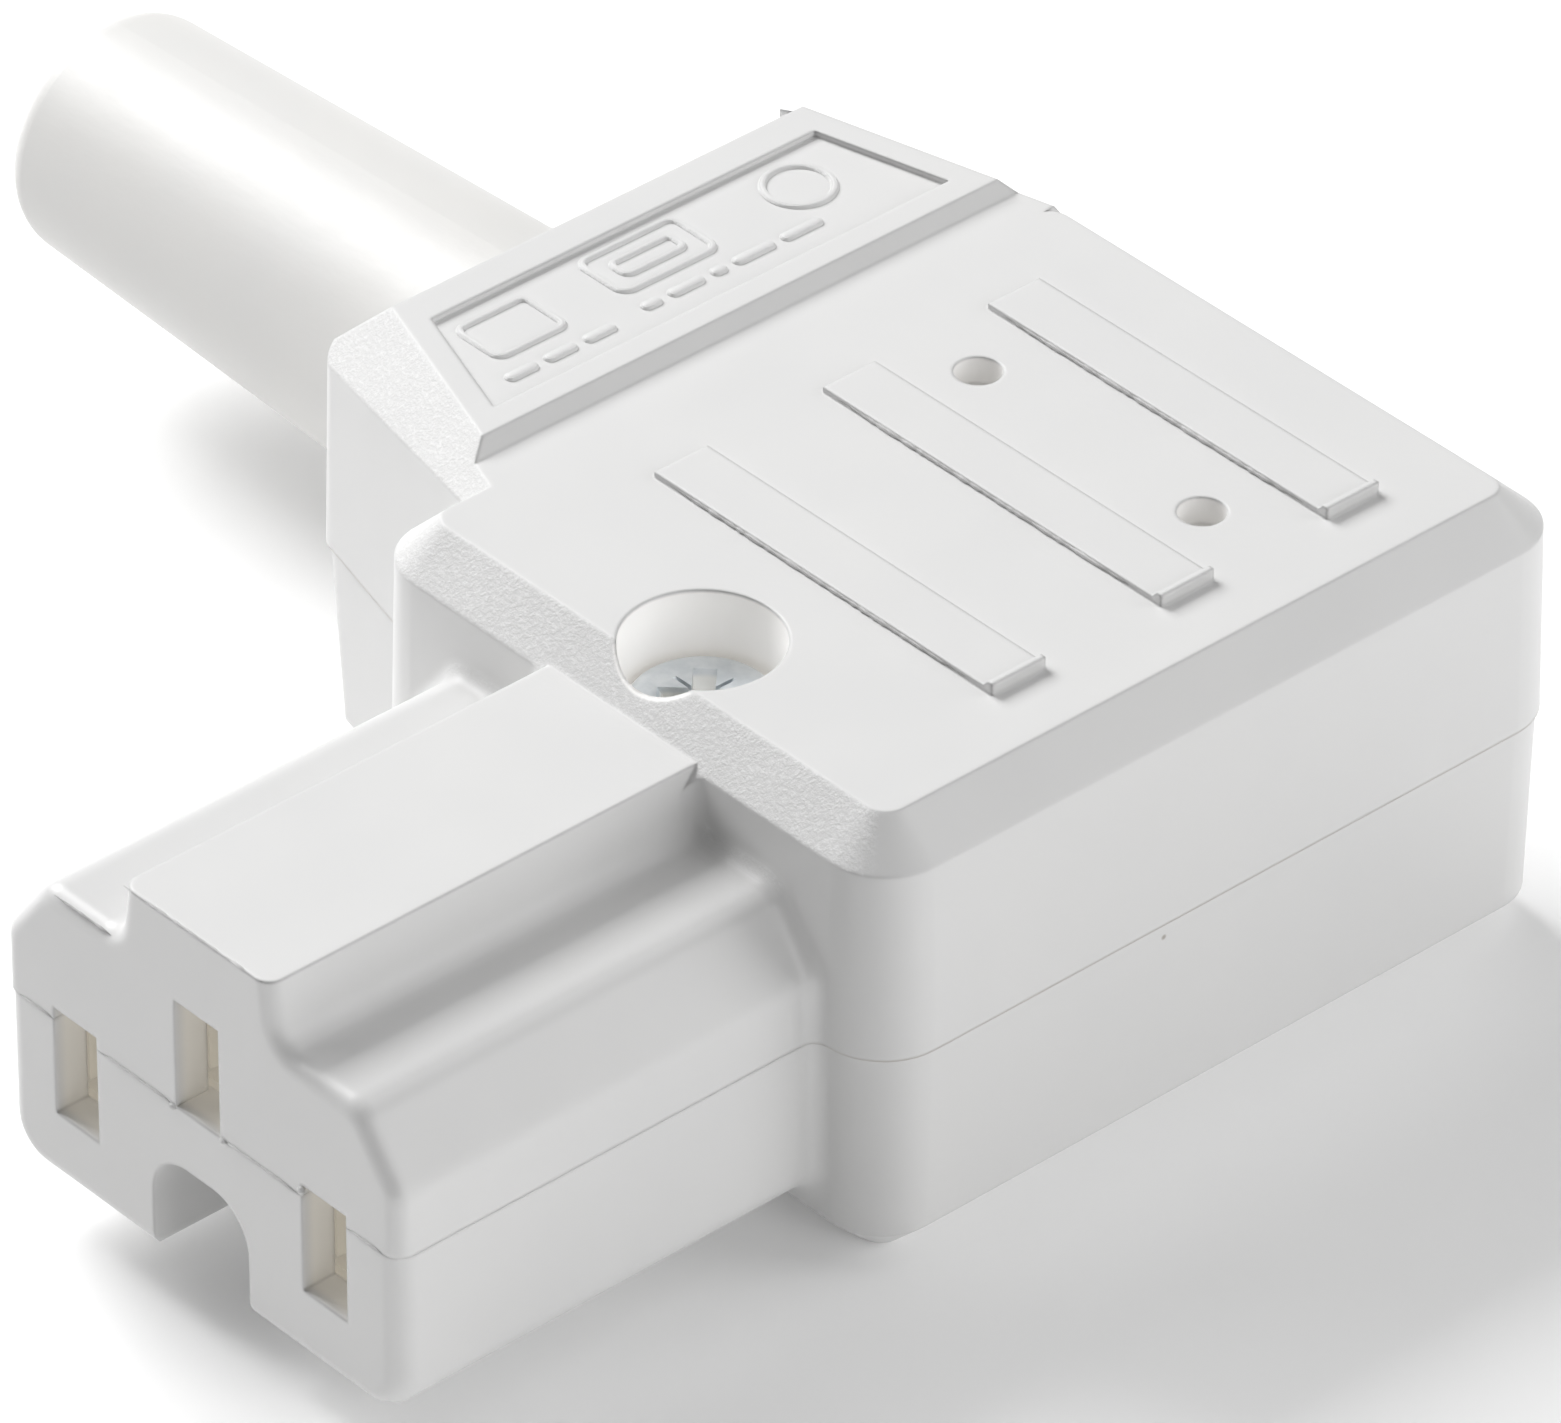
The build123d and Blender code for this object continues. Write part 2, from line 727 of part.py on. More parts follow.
# Contacts, springs, terminals and terminal screws of the two current poles
side_floor = -side_contact_floor
side_low = side_floor + sheet
side_end = side_terminal_y + terminal_length / 2
for pole, x in (("live", -side_x), ("neutral", side_x)):
    contact = contact_solid(x, side_floor, side_end, tail_width)
    contact.part.label = pole + "_contact"
    export_step(contact.part, "parts/" + pole + "_contact.step")
    spring = spring_solid(x, side_floor)
    spring.part.label = pole + "_contact_spring"
    export_step(spring.part, "parts/" + pole + "_contact_spring.step")
    terminal = terminal_solid(x, side_terminal_y, side_low)
    terminal.part.label = pole + "_terminal"
    export_step(terminal.part, "parts/" + pole + "_terminal.step")
    screw = slotted_screw(
        x,
        side_terminal_y,
        side_low + terminal_height,
        terminal_screw_diameter,
        terminal_screw_reach,
        terminal_head_diameter,
        terminal_head_height,
    )
    screw.part.label = pole + "_terminal_screw"
    export_step(screw.part, "parts/" + pole + "_terminal_screw.step")

# The earth strap passes round the housing screw and lies on top of its terminal
earth_contact = contact_solid(0, 0, earth_terminal_y + terminal_length / 2, earth_strap_width)
with earth_contact:
    with Locations((0, screw_y, sheet)):
        Hole((screw_diameter + screw_clearance) / 2, depth=sheet)
    with Locations((0, earth_terminal_y, sheet)):
        Hole(terminal_screw_diameter / 2, depth=sheet)
earth_contact.part.label = "earth_contact"
export_step(earth_contact.part, "parts/earth_contact.step")
earth_contact_spring = spring_solid(0, 0)
earth_contact_spring.part.label = "earth_contact_spring"
export_step(earth_contact_spring.part, "parts/earth_contact_spring.step")
earth_terminal = terminal_solid(0, earth_terminal_y, -terminal_height)
earth_terminal.part.label = "earth_terminal"
export_step(earth_terminal.part, "parts/earth_terminal.step")
earth_terminal_screw = slotted_screw(
    0,
    earth_terminal_y,
    sheet,
    terminal_screw_diameter,
    terminal_screw_reach + sheet,
    terminal_head_diameter,
    terminal_head_height,
)
earth_terminal_screw.part.label = "earth_terminal_screw"
export_step(earth_terminal_screw.part, "parts/earth_terminal_screw.step")

# Saddle clamp over the cord, with its two screws
clamp_foot = clamp_gap / 2
with BuildPart() as cord_clamp:
    with BuildSketch(Plane.YZ.offset(clamp_x - clamp_width / 2)):
        with Locations((cord_axis_y, 0)):
            Circle(clamp_arch_radius + clamp_thickness)
        with Locations((cord_axis_y, clamp_foot)):
            Rectangle(clamp_span, clamp_thickness, align=(Align.CENTER, Align.MIN))
        with Locations((cord_axis_y, 0)):
            Circle(clamp_arch_radius, mode=Mode.SUBTRACT)
        with Locations((cord_axis_y, clamp_foot)):
            Rectangle(
                clamp_span,
                2 * clamp_arch_radius + clamp_span,
                align=(Align.CENTER, Align.MAX),
                mode=Mode.SUBTRACT,
            )
    extrude(amount=clamp_width)
    with Locations((clamp_x, cord_axis_y, clamp_foot + clamp_thickness)):
        with GridLocations(1, clamp_hole_pitch, 1, 2):
            Hole((clamp_screw_diameter + screw_clearance) / 2)
cord_clamp.part.label = "cord_clamp"
export_step(cord_clamp.part, "parts/cord_clamp.step")

for name, side in (("front_clamp_screw", -1), ("rear_clamp_screw", 1)):
    screw = slotted_screw(
        clamp_x,
        cord_axis_y + side * clamp_hole_pitch / 2,
        clamp_foot + clamp_thickness,
        clamp_screw_diameter,
        clamp_thickness + clamp_gap + clamp_screw_reach,
        clamp_head_diameter,
        clamp_head_height,
    )
    screw.part.label = name
    export_step(screw.part, "parts/" + name + ".step")
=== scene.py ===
import bpy
import math
import random
from mathutils import Matrix, Vector


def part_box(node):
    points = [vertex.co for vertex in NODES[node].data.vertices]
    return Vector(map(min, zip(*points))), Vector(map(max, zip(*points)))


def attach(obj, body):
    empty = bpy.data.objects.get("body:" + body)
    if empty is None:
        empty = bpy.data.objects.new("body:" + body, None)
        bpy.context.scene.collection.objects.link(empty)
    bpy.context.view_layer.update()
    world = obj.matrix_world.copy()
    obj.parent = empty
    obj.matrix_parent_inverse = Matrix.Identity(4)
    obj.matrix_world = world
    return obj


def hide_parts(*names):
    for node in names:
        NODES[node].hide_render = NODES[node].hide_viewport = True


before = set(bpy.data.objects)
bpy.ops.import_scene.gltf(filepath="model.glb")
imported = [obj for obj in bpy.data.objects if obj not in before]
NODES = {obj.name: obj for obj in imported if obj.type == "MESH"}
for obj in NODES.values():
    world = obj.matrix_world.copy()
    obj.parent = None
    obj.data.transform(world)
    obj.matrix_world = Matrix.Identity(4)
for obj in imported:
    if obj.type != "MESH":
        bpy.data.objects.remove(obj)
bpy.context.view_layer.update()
MM = 0.001

# Camera: the photograph's own viewpoint, a long lens looking down over the nose
PHOTO_WIDTH = 1561
FOCAL_PIXELS = 13256.6
SENSOR = 36.0
CAMERA_PLACE = Vector((295.01, -238.35, 292.79)) * MM
CAMERA_AZIMUTH = 47.905
CAMERA_ELEVATION = 35.918
CAMERA_ROLL = -0.41
CLIP_START = 0.01
CLIP_END = 10.0

# Softboxes over a pale floor: azimuth from the side away from the cord
# towards the back, height in degrees above the floor, and strength
SOFTBOXES = {
    "key_softbox": (180, 38, 1.60),
    "front_key_softbox": (210, 38, 0.30),
    "high_key_softbox": (180, 55, 0.19),
    "low_side_card": (0, 22, 0.39),
    "back_side_card": (45, 22, 0.41),
    "high_back_card": (60, 55, 0.21),
}
SOFTBOX_AIM = Vector((-10, 30, 0)) * MM
SOFTBOX_DISTANCE = 0.8
SOFTBOX_SIDE = 0.4
SOFTBOX_WATTS = 4.0
WORLD_STRENGTH = 0.08
FLOOR_HALF = 1.5
FLOOR_GLOW = 0.10

# Landmarks of the housing
SHELL_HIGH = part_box("upper_shell")[1]
SHELL_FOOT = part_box("lower_shell")[0].z
BLOCK_FRONT = 20.0 * MM
SCREW_LOW, SCREW_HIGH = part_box("housing_screw")
SCREW_AXIS = (SCREW_LOW + SCREW_HIGH) / 2
WELL_REACH = 3.3 * MM
WELL_TOP = 9.8 * MM

# Slots of the nose with the contact chambers behind them: the outer two stand
# either side of the middle one
PIN_OFFSET = 7.0 * MM
SLOT_MOUTH = 0.35 * MM
SLOT_MOUTH_FADE = 0.3 * MM
CHAMBER_END = 15 * MM
CHAMBER_FADE = 1 * MM
MOUTH_GLOW_END = 5 * MM
MOUTH_GLOW_FADE = 2 * MM
OUTER_CHAMBER_REACH = 2.2 * MM
OUTER_CHAMBER_FOOT = -4.9 * MM
OUTER_CHAMBER_TOP = 1.3 * MM
MIDDLE_CHAMBER_REACH = 2.1 * MM
MIDDLE_CHAMBER_FOOT = -0.6 * MM
MIDDLE_CHAMBER_TOP = 5.6 * MM

# Core holes between the finger ribs
CORE_HOLE_OFFSET = 6.15 * MM
CORE_HOLE_Y = 43.65 * MM
CORE_HOLE_REACH = 1.1 * MM
CORE_HOLE_TOP = 9.85 * MM

# Edges of the plastic look rounded by this much, and masks change over these widths
EDGE_SOFTNESS = 0.28 * MM
BEVEL_SAMPLES = 6
CRISP = 0.05 * MM
SOFT = 0.1 * MM
SEAM_HALF_WIDTH = 0.06 * MM

# Roughness of the smoothest spots of the plastic, and its refraction
SATIN = 0.36
PLASTIC_IOR = 1.5

# Specks in the plastic: place and radius, in millimetres, and how strongly they tint it
HOUSING_SPECKS = [((14.35, 34.39, -0.69), 0.12), ((14.35, 21.95, -2.44), 0.12)]
HOUSING_SPECK_STRENGTH = 0.7
SLEEVE_SPECKS = [((-27.6, 35.2, 4.6), 0.14)]
SLEEVE_SPECK_STRENGTH = 0.6

# Label field on the neck, and the plain marks that stand on it
LABEL_FLOOR = SHELL_HIGH.z - 0.25 * MM
MARK_HEIGHT = 0.16 * MM
MARK_STROKE = 0.36 * MM
MARK_SINK = 0.02 * MM
STROKE_STEPS = 6

# Marks, in millimetres: rings as centre, half length, half width and corner,
# and rows of bars as place across, start and lengths
LABEL_RINGS = [
    ((-19.6, 32.0), 1.7, 1.25, 0.4),
    ((-19.85, 39.1), 2.4, 1.35, 0.5),
    ((-19.85, 39.1), 1.5, 0.5, 0.3),
    ((-19.6, 46.6), 1.4, 1.4, 1.39),
]
LABEL_ROWS = [
    (-17.1, 29.6, (1.5, 1.5, 1.5)),
    (-17.3, 36.6, (0.9, 1.7, 0.7, 2.0, 2.0)),
]
BAR_HALF_WIDTH = 0.24
BAR_GAP = 0.45
BAR_ROUNDING = 0.98

# Edge of a bar from its foot to its top: millimetres past its own size, and share of its height
BAR_EDGE = [(0.05, 0.0), (0.02, 0.6), (-0.03, 0.85), (-0.10, 1.0)]

# Moulding flash, in millimetres: on the parting line between the slots, as nibs
# beside them, in front of the finger ribs and on the front edges of the nose's top.
# How crumbly a line is runs from 0 to 1
PARTING_STRETCHES = [(-10.3, -8.3), (-5.7, -1.3), (1.3, 5.7), (8.3, 10.3)]
PARTING_FLASH_Y = 0.02
PARTING_FLASH_RADIUS = 0.10
PARTING_FLASH_CRUMBLE = 0.25
NIB_PLACES = [(-1.45, -0.1), (5.75, 0.25), (1.4, -0.05)]
NIB_HALF_LENGTH = 0.2
NIB_RADIUS = 0.15
RIB_FRONTS = (29.9, 38.35, 46.8)
RIB_START = -8.95
RIB_END = 9.05
RIB_FOOT = 10.0
RIB_FLASH_RADIUS = 0.12
RIB_FLASH_CRUMBLE = 0.45
RIDGE_FLASH = [
    ((-4.0, 0.05, 8.38), (4.0, 0.05, 8.38), 0.08, 0.4),
    ((-8.2, 0.16, 5.58), (-4.9, 0.16, 5.58), 0.07, 0.6),
]
FLASH_STEP = 0.22 * MM
FLASH_FADE = 6
THINNEST_FLASH = 0.15
FEWEST_FLASH_POINTS = 4

# Housing screw: its head and thread
HEAD_HEIGHT = 1.9 * MM
HEAD_EDGE = 0.5 * MM
HEAD_CHAMFER = 0.1 * MM
HEAD_DOME_STEPS = 6
HEAD_DOME_WIDTH = HEAD_EDGE * 1.2
HEAD_DOME_RISE = HEAD_EDGE * 0.9
HEAD_FLAT_SHARE = 0.4
SCREW_TIP_MIDDLE = 0.2 * MM
SCREW_TIP_CHAMFER = 0.2 * MM
THREAD_START = 0.3 * MM
THREAD_PITCH = 0.5 * MM
THREAD_CORE = 1.25 * MM
THREAD_CREST = 1.5 * MM
CREST_START_SHARE = 0.45
CREST_END_SHARE = 0.55

# Cross recess of the head and the star marks between its wings: floor_share is how much
# of the reach is left at the floor, and first_angle the direction of the first wing
CROSS_RECESS = {
    "half_width": 0.46 * MM,
    "reach": 1.85 * MM,
    "depth": 1.2 * MM,
    "floor_share": 0.55,
    "first_angle": 45,
}
STAR_MARKS = {
    "half_width": 0.09 * MM,
    "reach": 1.75 * MM,
    "depth": 0.25 * MM,
    "floor_share": 0.8,
    "first_angle": 0,
}
RECESS_WINGS = 4
WING_NARROWEST = 0.6
CUTTER_RISE = 0.2 * MM
CUTTER_OVERLAP = 0.1
RECESS_TOP = SCREW_HIGH.z - 0.25 * MM
RECESS_FLOOR = SCREW_HIGH.z - 1.4 * MM

# Sockets of the Mix node when it mixes colours
MIX_FACTOR, MIX_FIRST, MIX_SECOND, MIX_RESULT = 0, 6, 7, 2


class Value:
    """A socket that Python's operators work on, each adding its Math node."""

    def __init__(self, finish, socket):
        self.finish = finish
        self.socket = socket

    def maths(self, operation, *others):
        inputs = dict(enumerate((self, *others)))
        return self.finish.make("ShaderNodeMath", {"operation": operation}, inputs)

    def __add__(self, other):
        return self.maths("ADD", other)

    __radd__ = __add__

    def __mul__(self, other):
        return self.maths("MULTIPLY", other)

    __rmul__ = __mul__

    def __sub__(self, other):
        return self.maths("SUBTRACT", other)

    def __rsub__(self, other):
        return self.finish.make("ShaderNodeMath", {"operation": "SUBTRACT"}, {0: other, 1: self})

    def __pow__(self, other):
        return self.maths("POWER", other)

    def __abs__(self):
        return self.maths("ABSOLUTE")

    def above(self, edge, soft):
        """0 below the edge and 1 above it, with a soft band between."""
        return self.finish.make(
            "ShaderNodeMapRange",
            {"interpolation_type": "SMOOTHSTEP"},
            {"Value": self, "From Min": edge - soft, "From Max": edge + soft},
        )

    def below(self, edge, soft):
        """1 below the edge and 0 above it, with a soft band between."""
        return 1 - self.above(edge, soft)

    def most(self, other):
        """The larger of two values."""
        return self.maths("MAXIMUM", other)


class Finish:
    """One material, built up from nodes."""

    def __init__(self, name):
        self.material = bpy.data.materials.new(name)
        self.material.use_nodes = True
        self.tree = self.material.node_tree
        self.tree.nodes.clear()
        self.place = self.make("ShaderNodeTexCoord", output="Object")
        self.facing = self.make("ShaderNodeTexCoord", output="Normal")

    def make(self, kind, settings=None, inputs=None, output=0):
        """Adds a node: settings first, then the values or links of its sockets."""
        node = self.tree.nodes.new(kind)
        for name, value in (settings or {}).items():
            setattr(node, name, value)
        for name, value in (inputs or {}).items():
            socket = node.inputs[name]
            if isinstance(value, Value):
                self.tree.links.new(value.socket, socket)
            else:
                socket.default_value = value
        if output is None:
            return None
        return Value(self, node.outputs[output])

    def split(self, vector):
        """The three parts of a vector."""
        node = self.make("ShaderNodeSeparateXYZ", inputs={"Vector": vector}).socket.node
        return [Value(self, part) for part in node.outputs]

    def noise(self, size, detail=2.0, roughness=0.5, stretch=(1, 1, 1), seed=0.0):
        """Noise between 0 and 1 whose lumps are about the given size in metres."""
        scaled = self.make(
            "ShaderNodeMapping",
            inputs={"Vector": self.place, "Scale": stretch, "Location": (seed, seed * 0.7, -seed)},
        )
        return self.make(
            "ShaderNodeTexNoise",
            inputs={"Vector": scaled, "Scale": 1 / size, "Detail": detail, "Roughness": roughness},
        )

    def mix(self, factor, first, second):
        """Colour that goes from the first to the second."""
        return self.make(
            "ShaderNodeMix",
            {"data_type": "RGBA"},
            {MIX_FACTOR: factor, MIX_FIRST: first, MIX_SECOND: second},
            output=MIX_RESULT,
        )

    def near(self, point, radius):
        """1 inside a ball round a point, 0 outside."""
        gap = self.make(
            "ShaderNodeVectorMath",
            {"operation": "DISTANCE"},
            {0: self.place, 1: tuple(point)},
            output="Value",
        )
        return gap.below(radius, CRISP)

    def speckle(self, colour, specks, strength, tint):
        """A colour with specks of another in it."""
        for place, radius in specks:
            speck = self.near(Vector(place) * MM, radius * MM)
            colour = self.mix(speck * strength, colour, tint)
        return colour

    def bump(self, height, distance, strength, normal=None):
        """A normal that rises and falls with a height, on top of another normal."""
        inputs = {"Height": height, "Distance": distance, "Strength": strength}
        if normal is not None:
            inputs["Normal"] = normal
        return self.make("ShaderNodeBump", inputs=inputs)

    def surface(self, linked, fixed):
        """Closes the material with a Principled shader."""
        shader = self.make("ShaderNodeBsdfPrincipled", inputs={**fixed, **linked}, output="BSDF")
        self.make("ShaderNodeOutputMaterial", inputs={"Surface": shader}, output=None)
        return self.material


def grey(level, warm=0.0):
    """Neutral colour, a little yellow if warm is above nought."""
    return (level * (1 + warm * 0.4), level, level * (1 - warm), 1.0)


BLACK = grey(0.0)


def inside_slots(x, y, z):
    """1 on the walls of the slots and of the chambers behind them."""
    behind_face = y.above(SLOT_MOUTH, SLOT_MOUTH_FADE) * y.below(CHAMBER_END, CHAMBER_FADE)
    outer = abs(abs(x) - PIN_OFFSET).below(OUTER_CHAMBER_REACH, CRISP)
    outer = outer * z.above(OUTER_CHAMBER_FOOT, SOFT) * z.below(OUTER_CHAMBER_TOP, SOFT)
    middle = abs(x).below(MIDDLE_CHAMBER_REACH, CRISP)
    middle = middle * z.above(MIDDLE_CHAMBER_FOOT, SOFT) * z.below(MIDDLE_CHAMBER_TOP, SOFT)
    return behind_face * outer.most(middle)


def length_of(across, along):
    """Distance in the plane of the floor from its two parts."""
    return (across * across + along * along) ** 0.5


def screw_well(x, y, z):
    """1 on the wall of the well over the screw head."""
    aside = length_of(x - SCREW_AXIS.x, y - SCREW_AXIS.y)
    return aside.below(WELL_REACH, CRISP) * z.below(WELL_TOP, SOFT)


def core_holes(x, y, z):
    """1 in the two core holes between the finger ribs."""
    aside = length_of(abs(x) - CORE_HOLE_OFFSET, y - CORE_HOLE_Y)
    return aside.below(CORE_HOLE_REACH, CRISP) * z.below(CORE_HOLE_TOP, CRISP)


def moulded_housing():
    """White moulded plastic: satin flats, fine spark-eroded grain with painted sparkle on the bevels."""
    painted_slot_light = (0.79, 0.77, 0.72, 1.0)
    seam_brown = (0.62, 0.57, 0.51, 1.0)
    speck_brown = (0.28, 0.24, 0.20, 1.0)
    deep_glow = (0.155, 0.147, 0.136, 1.0)
    finish = Finish("white_moulded_plastic")
    x, y, z = finish.split(finish.place)
    nx, ny, nz = finish.split(finish.facing)

    # Grain lies on the bevels of the block and the neck, except the one that faces away from the cord
    outward = abs(nx).most(abs(ny))
    sloped = outward.above(0.35, soft=0.1) * nz.above(0.35, soft=0.1) * nz.below(0.93, soft=0.03)
    grain_and_sparkle = sloped * y.above(BLOCK_FRONT, 0.5 * MM) * nx.below(0.4, soft=0.1)
    grain = finish.noise(size=0.17 * MM, detail=3.0, roughness=0.7)
    cloud = finish.noise(size=9 * MM, detail=3.0, roughness=0.55)
    orange_peel = finish.noise(size=1.6 * MM, detail=2.0, roughness=0.5, seed=3.1)
    swell = finish.noise(size=5 * MM, detail=1.0, roughness=0.4, seed=6.3)
    fine_dots = finish.noise(size=0.35 * MM, detail=1.0, roughness=0.5, seed=9.2)

    colour = finish.mix(cloud, grey(0.72), grey(0.75, warm=0.01))
    # Specks of the grain are painted whiter: painted sparkle where light catches the grain on the lit
    # bevels
    colour = finish.mix(grain_and_sparkle * grain.above(0.58, soft=0.1) * 0.45, colour, grey(0.92))
    seam = abs(z).below(SEAM_HALF_WIDTH, CRISP) * y.above(BLOCK_FRONT, 1 * MM) * 0.5
    colour = finish.mix(seam * (0.4 + cloud), colour, seam_brown)
    # Walls of the slots and chambers get a paler cream colour: painted light for the light that comes
    # through the plastic
    slots = inside_slots(x, y, z)
    colour = finish.mix(slots, colour, painted_slot_light)
    colour = finish.speckle(colour, HOUSING_SPECKS, HOUSING_SPECK_STRENGTH, speck_brown)
    # Wall of the well over the screw head is painted paler: painted light for the fill that comes
    # through the plastic
    well = screw_well(x, y, z)
    colour = finish.mix(well, colour, grey(0.86))

    # Thick white plastic lets some light through into its hollows
    deep = well.most(0.6 * slots.most(core_holes(x, y, z)))
    glow = finish.mix(deep, BLACK, deep_glow)
    roughness = SATIN + 0.08 * cloud + 0.14 * grain_and_sparkle
    bumps = finish.make("ShaderNodeBevel", {"samples": BEVEL_SAMPLES}, {"Radius": EDGE_SOFTNESS})
    bumps = finish.bump(swell, distance=0.25 * MM, strength=0.35, normal=bumps)
    bumps = finish.bump(orange_peel, distance=0.01 * MM, strength=0.25, normal=bumps)
    dotted = fine_dots * nz.above(0.95, soft=0.02)
    bumps = finish.bump(dotted, distance=0.012 * MM, strength=0.4, normal=bumps)
    bumps = finish.bump(grain * grain_and_sparkle, distance=0.05 * MM, strength=0.8, normal=bumps)
    return finish.surface(
        {"Base Color": colour, "Roughness": roughness, "Normal": bumps, "Emission Color": glow},
        {"IOR": PLASTIC_IOR, "Emission Strength": 1.0},
    )


def smooth_sleeve():
    """Satin plastic of the cord sleeve, a shade warmer than the housing."""
    speck_brown = (0.42, 0.36, 0.30, 1.0)
    finish = Finish("satin_sleeve_plastic")
    cloud = finish.noise(size=7 * MM, detail=3.0, roughness=0.6)
    drawn = finish.noise(size=1.2 * MM, detail=3.0, roughness=0.6, stretch=(0.35, 1, 1), seed=5.0)
    mottle = finish.noise(size=0.5 * MM, detail=2.0, roughness=0.6, stretch=(0.5, 1, 1), seed=11.0)
    colour = finish.mix(cloud, grey(0.73, warm=0.01), grey(0.76, warm=0.03))
    colour = finish.speckle(colour, SLEEVE_SPECKS, SLEEVE_SPECK_STRENGTH, speck_brown)
    roughness = SATIN + 0.12 * drawn + 0.08 * mottle
    bumps = finish.bump(drawn, distance=0.035 * MM, strength=0.5)
    bumps = finish.bump(mottle, distance=0.012 * MM, strength=0.5, normal=bumps)
    return finish.surface(
        {"Base Color": colour, "Roughness": roughness, "Normal": bumps},
        {"IOR": PLASTIC_IOR},
    )


def bright_metal(name, colour, brush_size, rough):
    """Bare metal with fine brushing and slight stains."""
    stained_share = 0.72
    finish = Finish(name)
    brushing = finish.noise(brush_size, detail=4.0, roughness=0.65, stretch=(1, 1, 0.15), seed=2.0)
    stain = finish.noise(size=1.6 * MM, detail=3.0, roughness=0.6, seed=8.0)
    dull = tuple(part * stained_share for part in colour[:3]) + (1.0,)
    bumps = finish.bump(brushing, distance=0.02 * MM, strength=0.4)
    return finish.surface(
        {
            "Base Color": finish.mix(stain.above(0.5, soft=0.25), colour, dull),
            "Roughness": rough + 0.18 * brushing,
            "Normal": bumps,
        },
        {"Metallic": 1.0},
    )


def nickel_sheet():
    """Nickel-plated contact sheet, lit through the plastic near the mouth of its slot."""
    bright_nickel = (0.85, 0.83, 0.78, 1.0)
    dull_nickel = (0.75, 0.73, 0.68, 1.0)
    mouth_glow = (0.11, 0.104, 0.093, 1.0)
    finish = Finish("nickel_plated_sheet")
    y = finish.split(finish.place)[1]
    stain = finish.noise(size=1.2 * MM, detail=3.0, roughness=0.6, seed=4.0)
    return finish.surface(
        {
            "Base Color": finish.mix(stain, bright_nickel, dull_nickel),
            "Roughness": 0.3 + 0.15 * stain,
            "Normal": finish.bump(stain, distance=0.02 * MM, strength=0.3),
            "Emission Color": finish.mix(y.below(MOUTH_GLOW_END, MOUTH_GLOW_FADE), BLACK, mouth_glow),
        },
        {"Metallic": 1.0, "Emission Strength": 1.0},
    )


def zinc_plate():
    """Bright zinc plating, with a painted highlight that makes it paler in the recess of a screw head.
    """
    bright_zinc = (0.84, 0.87, 0.89, 1.0)
    dull_zinc = (0.70, 0.74, 0.77, 1.0)
    recess_painted_highlight = (0.97, 0.97, 0.95, 1.0)
    finish = Finish("bright_zinc_plate")
    z = finish.split(finish.place)[2]
    brushing = finish.noise(size=0.4 * MM, detail=4.0, roughness=0.65, stretch=(1, 1, 0.15), seed=2.0)
    stain = finish.noise(size=1.1 * MM, detail=3.0, roughness=0.6, seed=8.0)
    # The recess is painted near white: a painted highlight for the bright look of its wings
    recess = z.below(RECESS_TOP, SOFT) * z.above(RECESS_FLOOR, SOFT)
    colour = finish.mix(stain.above(0.5, soft=0.25), bright_zinc, dull_zinc)
    return finish.surface(
        {
            "Base Color": finish.mix(recess, colour, recess_painted_highlight),
            "Roughness": 0.38 + 0.18 * brushing,
            "Normal": finish.bump(brushing, distance=0.02 * MM, strength=0.4),
        },
        {"Metallic": 1.0},
    )


def pale_floor():
    """Matt pale paper with a slight glow of its own."""
    finish = Finish("pale_paper_floor")
    fibre = finish.noise(size=3 * MM, detail=3.0, roughness=0.5)
    return finish.surface(
        {"Base Color": finish.mix(fibre, grey(0.93), grey(0.95))},
        {"Roughness": 0.9, "Emission Color": grey(1.0), "Emission Strength": FLOOR_GLOW},
    )


def dress(node, material):
    """Gives a CAD node its finish."""
    slots = NODES[node].data.materials
    slots.clear()
    slots.append(material)


def dress_all(plastic, zinc):
    """Gives every CAD node the finish of its own kind."""
    nickel = nickel_sheet()
    spring = bright_metal("plain_spring_steel", (0.55, 0.56, 0.58, 1.0), brush_size=0.5 * MM, rough=0.34)
    brass = bright_metal("turned_brass", (0.78, 0.58, 0.27, 1.0), brush_size=0.4 * MM, rough=0.25)
    sleeve = smooth_sleeve()
    for node in NODES:
        if node in ("upper_shell", "lower_shell", "cord_clamp"):
            dress(node, plastic)
        elif node == "cord_sleeve":
            dress(node, sleeve)
        elif node.endswith("_spring"):
            dress(node, spring)
        elif node.endswith("_contact"):
            dress(node, nickel)
        elif node.endswith("_terminal"):
            dress(node, brass)
        else:
            dress(node, zinc)


def smooth_up_to(mesh, angle):
    """Smooth shading, with edges sharper than an angle in degrees left crisp."""
    mesh.shade_smooth()
    mesh.set_sharp_from_angle(angle=math.radians(angle))


def fix_to_housing(piece):
    """Puts a piece in the scene, riding on the housing."""
    bpy.context.scene.collection.objects.link(piece)
    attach(piece, "root")


def add_piece(name, points, faces, material):
    """A mesh piece that rides on the housing."""
    mesh = bpy.data.meshes.new(name)
    mesh.from_pydata(points, [], faces)
    mesh.validate()
    mesh.materials.append(material)
    smooth_up_to(mesh, 35)
    piece = bpy.data.objects.new(name, mesh)
    fix_to_housing(piece)
    return piece


def rounded_outline(half_length, half_width, corner, arc_points=8):
    """Points round a rectangle with rounded corners, anticlockwise."""
    points = []
    for turn in range(4):
        side = 1 if turn in (0, 3) else -1
        level = 1 if turn in (0, 1) else -1
        for i in range(arc_points + 1):
            angle = math.radians(90 * (turn + i / arc_points))
            points.append((
                side * (half_length - corner) + corner * math.cos(angle),
                level * (half_width - corner) + corner * math.sin(angle),
            ))
    return points


def label_point(centre, along, across, height):
    """A point over the label field: along runs with Y, across towards the sleeve."""
    return (centre[0] - across, centre[1] + along, LABEL_FLOOR + height)


